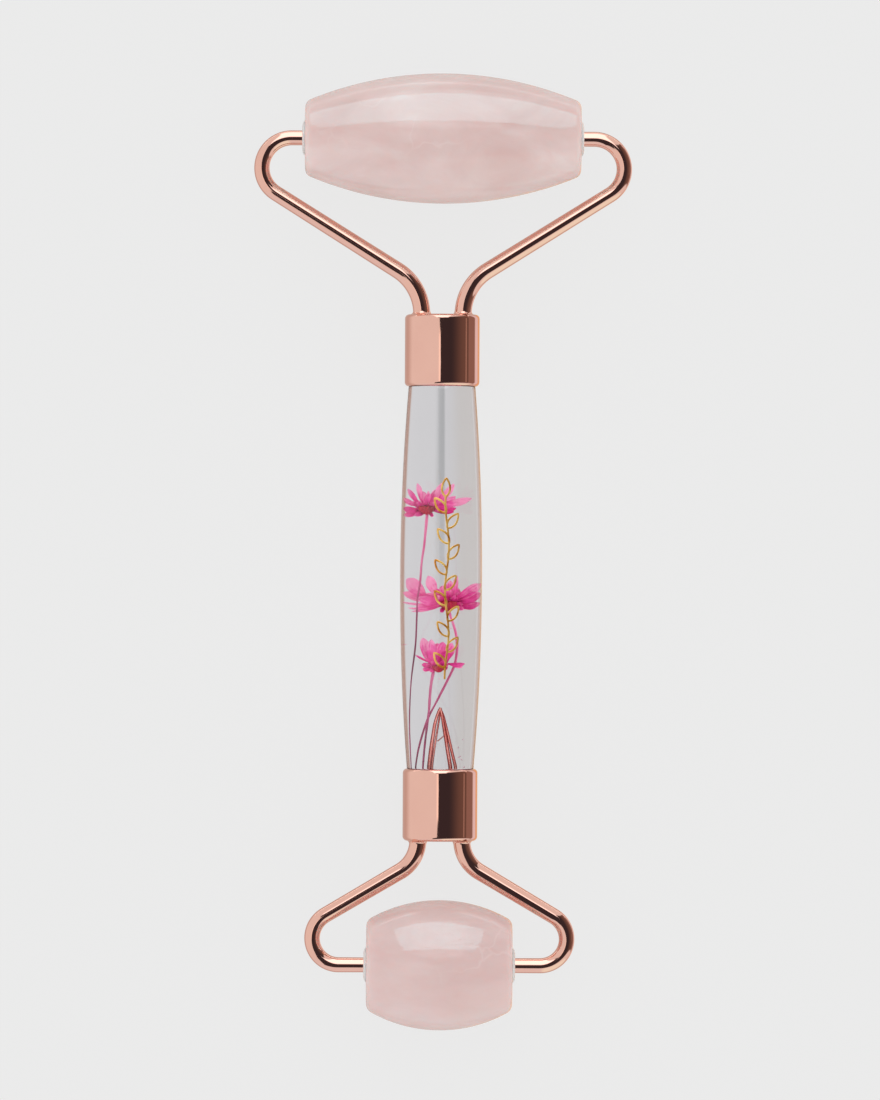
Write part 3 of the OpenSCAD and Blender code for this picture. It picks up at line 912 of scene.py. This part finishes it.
def calyx(x, y, z, radius, height):
    """A ribbed cup that opens upwards: the radius is sqrt(share of the height) with a
    cosine of the angle on it, and the top is a shallow dome."""
    share = np.linspace(0, 1, 16)[1:]
    side = np.stack([share * height, radius * np.sqrt(share) * (1 - 0.25 * share ** 4)], 1)
    top = np.stack([height + 0.12 * np.linspace(0, 1, 5)[1:], radius * 0.75 * np.linspace(1, 0, 5)[1:]], 1)
    points, faces, _ = spun(np.vstack([[[0, 0]], side, top]), "y", (0, 0, 0), steps=96)
    angle = np.arctan2(points[:, 2], points[:, 0])
    points *= (1 + RIB_DEPTH * np.cos(RIBS * angle))[:, None] * (1, 1, CALYX_FLAT)
    return points + (x, y, z), faces, None


for name, where in CALYXES.items():
    cup = make_mesh(f"{name}_ribbed_calyx", [seen_through(calyx(*where))])
    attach(paint(cup, calyx_paint), "handle_frame")
    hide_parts(f"{name}_flower_calyx")

# %% [markdown]
# ### The stems
#
# A thin bar along a smooth curve, as a bevelled curve would be. The curve goes through
# the lens first and the bar is swept after, so that the stem stays round.

# %% Stems
STEM_FOOT = -34.2                            # the stems are cut off inside the ferrule
WOBBLE = 0.10                                # how far a stem's radius wavers
STEMS = {
    "upper": ([(-2.1, 5.9, 0.3), (-2.35, 3.1, 0.9), (-2.57, 0.8, 1.3), (-2.9, -1.5, 1.7),
               (-3.14, -4.65, 2.1), (-3.5, -6.9, 2.3), (-3.6, -9.6, 2.3), (-3.78, -13.9, 2.2),
               (-4.38, -19.1, 1.7), (-4.6, -23.5, 1.2), (-4.6, -26.5, 0.9), (-4.48, -29.5, 0.7),
               (-4.3, -32.6, 0.6), (-4.1, STEM_FOOT, 0.6)], 0.15, 0.095, 0),
    "middle": ([(1.16, -8.4, 0.1), (1.45, -9.6, -0.3), (1.88, -10.8, -0.8), (2.29, -12.3, -1.5),
                (2.47, -14.1, -1.9), (2.3, -15.9, -1.9), (1.92, -17.3, -1.7), (0.81, -19.6, -1.2),
                (-0.67, -22.5, -0.8), (-1.71, -24.5, -0.5), (-2.45, -26.5, -0.3), (-3.27, -29.5, -0.1),
                (-3.75, -32.6, 0), (-3.95, STEM_FOOT, 0)], 0.13, 0.10, 0),
    "lower": ([(-1.05, -17.7, 0.1), (-1.41, -19.7, 0.5), (-1.6, -21.7, 0.8), (-1.71, -23.6, 0.9),
               (-1.95, -25.6, 1.0), (-2.15, -27.3, 1.1), (-2.38, -29.5, 1.2), (-2.6, -32.4, 1.3),
               (-2.7, STEM_FOOT, 1.3)], 0.16, 0.11, 9),
}


def stem(corners, top_r, foot_r, browned):
    """A thin bar along a smooth curve, with a slow wobble in its radius, moved into the
    resin as a path first so that it stays round. browned is added to the distance in its
    uv, so that a stem can start further down the change of colour."""
    path = through_grip(smooth_path(corners, steps=9))
    share = np.linspace(0, 1, len(path))
    waver = 1 + WOBBLE * np.sin(37 * share) * np.sin(11 * share + 1)
    radii = (top_r + (foot_r - top_r) * share) * waver
    points, faces, uv = swept(path, radii, sides=16)
    return points, faces, uv + (browned, 0)


for name, row in STEMS.items():
    bar = make_mesh(f"{name}_dried_stem", [stem(*row)], sharp_degrees=80)
    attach(paint(bar, pink_stem), "handle_frame")
    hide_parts(f"{name}_flower_stem")

# %% [markdown]
# ## The folded stem
#
# Low in the handle a stronger stem is bent over like a hairpin. It has dried flat, so it
# looks like two straps. Its colour follows the share of the way round its section: a
# painted highlight makes the middle of each strap pale, and painted shade makes its two
# edges dark red. A snapped side shoot lies between the legs.

# %% Folded stem
def strap_stem():
    """The colour is picked by 0.62 * |cos(angle round the section)| + 0.5 * fibres: pale
    in the middle of the strap as a painted highlight, and dark at its two edges as painted shade."""
    material, node, put = new_material("brown_stem")
    angle = maths(node, "MULTIPLY", one_axis(node, own_uv(node), "Y"), TAU)
    drawn = node("Mapping", {"Vector": own_place(node), "Scale": (1, 0.1, 1)}).outputs[0]
    fibres = noise(node, drawn, 1300, 4)
    # painted highlight and shade: pale along the strap's middle, dark where its section turns away at the
    # edges
    edge = maths(node, "MULTIPLY", maths(node, "ABSOLUTE", maths(node, "COSINE", angle)), 0.62)
    colour = ramp(node, maths(node, "MULTIPLY_ADD", fibres, 0.5, edge),
                  [(0.27, (0.88, 0.50, 0.44)), (0.38, (0.66, 0.17, 0.13)),
                   (0.54, (0.43, 0.050, 0.037)), (0.80, (0.20, 0.010, 0.012))])
    put(Base_Color=colour, Roughness=ramp(node, fibres, [(0.3, 0.35), (0.7, 0.55)]),
        Normal=bump(node, fibres, 0.5, 0.00004))
    return material


LEGS = [
    ([(0.02, -23.25, 1.0), (-0.35, -24.1, 1.1), (-0.80, -25.6, 1.2), (-1.10, -27.5, 1.3),
      (-1.38, -29.5, 1.3), (-1.68, -32.4, 1.3), (-1.85, STEM_FOOT, 1.3)], 0.20, 0.36),
    ([(0.10, -23.7, 0.6), (-0.10, -24.6, 0.6), (-0.42, -26.4, 0.7), (-0.70, -28.2, 0.7),
      (-1.05, -30.6, 0.7), (-1.25, -32.4, 0.7), (-1.4, STEM_FOOT, 0.7)], 0.12, 0.20),
    ([(-0.04, -23.25, 1.0), (0.24, -24.3, 1.1), (0.48, -25.9, 1.2), (0.78, -27.6, 1.2), (1.14, -29.8, 1.2),
      (1.58, -32.4, 1.1), (1.75, STEM_FOOT, 1.1)], 0.19, 0.33),
    ([(0.0, -23.4, 0.9), (0.44, -24.4, 1.0), (0.83, -25.9, 1.1), (1.24, -27.6, 1.1), (1.74, -29.8, 1.1),
      (2.36, -32.4, 1.0), (2.55, STEM_FOOT, 1.0)], 0.15, 0.27),
    ([(-0.42, -28.25, 0.9), (0.0, -27.9, 1.0), (0.56, -27.42, 1.1)], 0.09, 0.07),
]
parts = []
for corners, top_r, foot_r in LEGS:
    path = smooth_path(corners, steps=10)
    parts.append(seen_through(swept(path, np.linspace(top_r, foot_r, len(path)), sides=28, flat=0.4)))
folded = make_mesh("folded_strap_stem", parts, sharp_degrees=80)
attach(paint(folded, strap_stem()), "handle_frame")
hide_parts("folded_stem")

# %% [markdown]
# ## Loose threads
#
# A few hairs and flecks came off the flowers while the resin was poured. They are small,
# but a casting without any looks like glass with a picture in it.

# %% Loose threads
THREADS = [(-5.5, -13.9, 0.3, 0.9, 0.1), (2.9, -30.6, 1.0, 0.6, 0.5), (3.2, -31.0, 0.6, 0.4, -0.7),
           (2.7, -29.2, 0.8, 0.25, 1.2), (3.6, -32.0, 0.2, 0.2, 0.4), (-0.2, -18.9, 0.5, 0.2, 0.9),
           (1.5, -11.4, 1.4, 0.25, -0.4), (3.4, -28.0, -0.6, 0.2, 0.0)]
HAIR_R = 0.035


def thread(x, y, z, length, turn):
    """A short hair: a parabola turned by an angle in the plane of the view."""
    t = np.linspace(-0.5, 0.5, 12)
    flat = np.stack([length * t, 0.25 * length * t ** 2], 1)
    across = np.array([[math.cos(turn), math.sin(turn)], [-math.sin(turn), math.cos(turn)]])
    path = np.hstack([flat @ across, np.zeros((12, 1))]) + (x, y, z)
    return swept(through_grip(path), HAIR_R * np.sqrt(1.02 - (2 * t) ** 2), sides=8)


hairs = make_mesh("loose_petal_threads", [thread(*row) for row in THREADS], sharp_degrees=80)
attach(paint(hairs, pink_stem), "handle_frame")

# %% [markdown]
# ## Gold foil sprig
#
# A thin gold line drawing is stamped on the front of the handle: a wavy stalk with open
# leaves. A Shrinkwrap modifier could lay it on, but it pulls thin lines out of shape. So it
# is drawn flat, as ribbons on a plane, and then wrapped by a formula: the distance across
# becomes an angle round the axis. The foil is laid slightly proud of the resin.

# %% Foil material
def gold_foil():
    """Brown where the foil is worn, yellow where it isn't."""
    material, node, put = new_material("gold_foil")
    worn = noise(node, own_place(node), 800, 4)
    put(Base_Color=ramp(node, worn, [(0.35, (0.66, 0.25, 0.022)), (0.62, (1.0, 0.64, 0.17))]),
        Metallic=0.6, Roughness=ramp(node, worn, [(0.3, 0.25), (0.7, 0.45)]),
        Normal=bump(node, worn, 0.25, 0.00002))
    return material


SPRIG_X = 0.88
SPRIG_TOP, SPRIG_FOOT = 10.5, -19.0
STALK_SWAY, STALK_WAVE = 0.28, 13
FOIL_HALF = 0.15
FOIL_T = 0.03


def on_grip(part):
    """Wraps a flat surface round the grip: x over the radius is the angle from the top."""
    x, y, height = part[0].T
    r = grip_radius(y - grip_y)
    points = np.stack([(r + height) * np.sin(x / r), y, axle_z + (r + height) * np.cos(x / r)], 1)
    return (points, *part[1:])


def ribbon(flat_path, half_width):
    """A line of foil along a path in the plane."""
    path = np.hstack([flat_path, np.full((len(flat_path), 1), FOIL_T / 3)])
    return on_grip(swept(path, half_width, sides=10, flat=FOIL_T / half_width))


def stalk(y):
    """x of the stalk at y: a slow sine."""
    return SPRIG_X + STALK_SWAY * np.sin((y - SPRIG_TOP) * TAU / STALK_WAVE)


def leaf(y, side, degrees=52, length=2.7, half_width=0.62):
    """An open leaf: out along one side and back along the other, each a sine to the power
    of 0.8, turned up from the side by an angle."""
    t = np.linspace(0, 1, 22)
    out = np.stack([length * t, half_width * np.sin(math.pi * t ** 0.85) ** 0.8], 1)
    outline = np.vstack([out, out[-2::-1] * (1, -1)])
    turn = math.radians(degrees)
    turned = outline @ np.array([[math.cos(turn), math.sin(turn)], [-math.sin(turn), math.cos(turn)]])
    return turned * (side, 1) + (stalk(y), y)


line_y = np.linspace(SPRIG_TOP - 2.2, SPRIG_FOOT, 120)
strokes = [ribbon(np.stack([stalk(line_y), line_y], 1), FOIL_HALF),
           ribbon(leaf(line_y[0], 1, degrees=88), FOIL_HALF)]
for count, y in enumerate(np.linspace(SPRIG_TOP - 4.6, SPRIG_FOOT + 1.8, 11)):
    strokes.append(ribbon(leaf(y, 1 if count % 2 else -1), FOIL_HALF))
foil = make_mesh("gold_leaf_sprig", strokes, sharp_degrees=80)
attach(paint(foil, gold_foil()), "handle_frame")

# %% [markdown]
# ## Finishes for the engineering nodes
#
# The replaced nodes are hidden here, but whoever opens the part again should find each
# with its own finish, not with a grey one.

# %% Finishes by name
FINISHES = {"stone": quartz, "bush": bush_plastic, "arm": plating, "ferrule": plating, "braze": plating,
            "potting": potting, "handle": handle.data.materials[0], "petals": petal_paint,
            "calyx": calyx_paint, "stem": pink_stem}
for name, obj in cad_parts.items():
    for word, finish in FINISHES.items():
        if word in name:
            paint(obj, finish)
print(len(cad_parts), "nodes have a finish")

# %% [markdown]
# ## The table
#
# The table is pale and lit from below as well as from above, like the light table of a
# product studio, so the object throws hardly any shadow. A white plane under strong lamps
# would need careful balancing. A plane that glows has the wanted grey at once. It doesn't
# appear in the metal or through the resin: there the studio goes on below its edge.

# %% Table
TABLE_GREY = (0.08, 0.08, 0.08)
TABLE_GLOW = (0.7535, 0.7535, 0.7520)


def light_table(size=6.0):
    """A large plane at z = 0 that gives most of its light itself."""
    corners = [(x, y, 0.0) for x, y in ((-size, -size), (size, -size), (size, size), (-size, size))]
    mesh = bpy.data.meshes.new("light_table")
    mesh.from_pydata(corners, [], [(0, 1, 2, 3)])
    table = bpy.data.objects.new("light_table", mesh)
    bpy.context.scene.collection.objects.link(table)
    material, node, put = new_material("light_table")
    put(Base_Color=TABLE_GREY, Roughness=0.9, Specular_IOR_Level=0.0,
        Emission_Color=TABLE_GLOW, Emission_Strength=1.0)
    paint(table, material)
    table.visible_glossy = False
    table.visible_transmission = False
    return table


light_table()

# %% [markdown]
# ## Studio light
#
# Polished metal is only as good as what it mirrors, so the studio is drawn as light by
# direction: a bright wall to the left, a dark screen to the right, a narrow lamp beyond
# the large end and a warm ground. One angle, a, tells how far a direction leans from
# straight up towards +X, the other, b, how far towards +Y. Lamps and cards could be put
# round the table instead, but it would take dozens to fill a mirror.

# %% Masks and layers by direction
BACKDROP = (0.831, 0.831, 0.829)             # what the camera sees past the table
WALL = (0.88, 0.88, 0.88)
DOME = (0.87, 0.87, 0.87)                    # light on matt surfaces, and on those in the resin
DOME_IN_RESIN = (1.75, 1.75, 1.75)


def step(node, value, low, high):
    """0 below low, 1 above high, smooth between; high below low turns it round."""
    rises = low < high
    return node("MapRange", {"Value": value, "From Min": min(low, high), "From Max": max(low, high),
                             "To Min": 0.0 if rises else 1.0, "To Max": 1.0 if rises else 0.0},
                interpolation_type="SMOOTHSTEP").outputs["Result"]


def overlap(node, *masks):
    """The product of some masks."""
    product = None
    for mask in masks:
        mask = step(node, *mask) if isinstance(mask, tuple) else mask
        product = mask if product is None else maths(node, "MULTIPLY", product, mask)
    return product


def layered(node, below, rows):
    """Paints colours over each other. A row is a colour and its masks, each (value, low,
    high) for a step or a ready one, and the colour shows where all of them are 1."""
    for colour, *masks in rows:
        below = mix(node, overlap(node, *masks), below, colour)
    return below


# %% [markdown]
# ### The room in the mirrors
#
# A polished bar squeezes the whole room into narrow bands along itself. Each row below is
# one such band: its colour, then the steps that bound it. Later rows lie over earlier
# ones.

# %% The room in the mirrors
def mirrored_room(node, x, y, z):
    """The room that the metal, and the gloss on the other pieces, sees."""
    a = maths(node, "DEGREES", maths(node, "ARCTAN2", x, z))
    b = maths(node, "DEGREES", maths(node, "ARCTAN2", y, z))
    aside = maths(node, "ABSOLUTE", x)
    off_centre = maths(node, "ABSOLUTE", y)
    notch = maths(node, "MULTIPLY", maths(node, "MINIMUM", off_centre, 0.35), 0.8)
    low_edge = maths(node, "SUBTRACT", y, maths(node, "MULTIPLY", x, 0.28))
    high_edge = maths(node, "SUBTRACT", y, maths(node, "MULTIPLY", aside, 0.8))
    right = overlap(node, (maths(node, "ADD", x, notch), -0.085, -0.06),
                    (low_edge, -0.66, -0.60), (high_edge, 0.20, 0.15))
    low_right = overlap(node, right, (z, 0.02, -0.02), (x, 0.0, 0.1))
    screen = mix(node, step(node, a, 25, 75), (0.045, 0.036, 0.042), (0.165, 0.105, 0.086))
    fill = step(node, y, -0.60, -0.66)
    return layered(node, WALL, [
        ((0.86, 0.88, 0.92), fill),
        ((1.0, 1.16, 1.06), fill, (x, 0.0, 0.15)),
        ((0.62, 0.52, 0.48), (z, -0.20, -0.75)),                        # warm ground
        (screen, right, (z, -0.05, 0.0)),
        ((0.30, 0.195, 0.165), low_right, (a, 124, 119)),               # the ground below the screen
        ((0.86, 0.80, 0.86), low_right, (a, 121, 126), (a, 146, 141)),
        ((0.86, 0.52, 0.30), low_right, (a, 141, 146), (off_centre, 0.45, 0.30)),
        ((0.42, 0.29, 0.24), right, (off_centre, 0.13, 0.08), (a, 77, 79), (a, 83, 81)),
        ((1.9, 1.9, 1.95), (y, 0.27, 0.33), (z, -0.10, -0.04), (aside, 0.36, 0.28)),    # narrow lamp
        ((2.6, 2.6, 2.6), (b, 113, 114), (b, 117, 116), (aside, 0.8, 0.7)),
        ((1.25, 1.15, 1.08), (off_centre, 0.075, 0.05), (x, -0.19, -0.165), (x, -0.075, -0.095),
         (z, 0.2, 0.5))])


# %% [markdown]
# ### The room through the resin
#
# The handle bends the view, so the ground shows in it as broad upright bands. It gets a
# calmer room than the metal, or the flowers would be lost in it.

# %% The room through the resin
def room_through_resin(node, x, y, z):
    """The room seen through the resin: a grey ground, warmer to the sides, with a darker
    line under the large end."""
    ground = step(node, z, 0.1, -0.3)
    return layered(node, WALL, [
        ((0.645, 0.635, 0.650), ground),
        ((0.615, 0.590, 0.580), ground, (x, -0.1, -0.4)),
        ((0.50, 0.34, 0.29), ground, (x, 0.76, 0.84)),
        ((0.45, 0.45, 0.46), (x, 0.14, 0.0), (x, -0.075, -0.03), (y, 0.03, -0.04), (z, 0.0, -0.5))])


# %% [markdown]
# ### Which ray sees which room
#
# The Light Path node tells what kind of ray is asking. Mirrors see the wall and the
# screen, clear resin sees the grey ground, and matt surfaces get one even dome, so that
# nothing throws a hard shade. The camera itself sees a plain backdrop.

# %% Studio
def studio():
    """Puts the rooms together by the kind of ray that asks."""
    world = bpy.data.worlds.new("studio")
    bpy.context.scene.world = world
    world.use_nodes = True
    world.node_tree.nodes.clear()
    node = node_maker(world.node_tree)
    direction = [one_axis(node, node("TexCoord").outputs["Generated"], axis) for axis in "XYZ"]
    ray = node("LightPath").outputs
    through = ray["Is Transmission Ray"]
    shown = mix(node, through, mirrored_room(node, *direction), room_through_resin(node, *direction))
    bounced = maths(node, "MINIMUM", ray["Diffuse Depth"], 1.0)
    shown = mix(node, bounced, shown, mix(node, through, DOME, DOME_IN_RESIN))
    shown = mix(node, ray["Is Camera Ray"], shown, BACKDROP)
    light = node("Background", {"Color": shown}).outputs[0]
    join(world.node_tree, light, node("OutputWorld").inputs["Surface"])
    print("studio:", len(world.node_tree.nodes), "nodes")


studio()

# %% [markdown]
# ## A softbox for the stones
#
# The stones are no mirrors, so they need a stronger lamp for their highlight: a wide
# softbox beyond the large end. Light linking keeps it off the metal, which has its own
# lamp, and it adds gloss only.

# %% Softbox
def softbox(receiver, width, distance=2.0, lean=57.5, height=2.05, radiance=4.2):
    """An area lamp in the direction that leans from up towards +Y. A lamp of power P and
    area A shows a radiance of P / (pi A)."""
    lamp = bpy.data.lights.new("softbox", "AREA")
    lamp.shape, lamp.size, lamp.size_y = "RECTANGLE", width, height
    lamp.energy = radiance * math.pi * width * height
    lamp.color = (0.31, 0.76, 0.83)
    lamp.use_shadow = False
    obj = bpy.data.objects.new("softbox", lamp)
    obj.visible_diffuse = obj.visible_transmission = obj.visible_camera = False
    turn = math.radians(lean)
    obj.location = (0, distance * math.sin(turn), distance * math.cos(turn))
    obj.rotation_euler = (-turn, 0, 0)
    bpy.context.scene.collection.objects.link(obj)
    lit = bpy.data.collections.new("lit_by_softbox")
    lit.objects.link(receiver)
    obj.light_linking.receiver_collection = lit
    print(f"softbox on {receiver.name}, {lamp.energy:.0f} W")
    return obj


softbox(stones["large"], width=3.6)
softbox(stones["small"], width=2.5)

# %% [markdown]
# ## The camera
#
# The viewer looks straight down on the table with a long lens, so both ends are seen
# alike. The frame is 165 mm high at the handle's axis, and the camera is turned by a
# quarter of a degree, as the object doesn't lie quite straight.

# %% Camera
VIEW_HEIGHT = 165.0                          # mm of the object's plane from top to bottom
CAMERA_UP = 1200.0                           # mm over the handle's axis
CAMERA_AT = (-0.18, 0.285)                   # mm from the origin
CAMERA_TURN = 0.284                          # degrees
SENSOR = 24
lens = bpy.data.cameras.new("camera")
lens.sensor_fit = "VERTICAL"
lens.sensor_height = SENSOR
lens.lens = SENSOR * CAMERA_UP / VIEW_HEIGHT
lens.clip_start, lens.clip_end = 0.05, 20
camera = bpy.data.objects.new("camera", lens)
camera.location = [value * MM for value in (*CAMERA_AT, axle_z + CAMERA_UP)]
camera.rotation_euler = (0, 0, math.radians(CAMERA_TURN))
bpy.context.scene.collection.objects.link(camera)
bpy.context.scene.camera = camera
bpy.context.scene.view_settings.view_transform = "Standard"
print(f"lens {lens.lens:.0f} mm, {CAMERA_UP / 1000:.1f} m up")
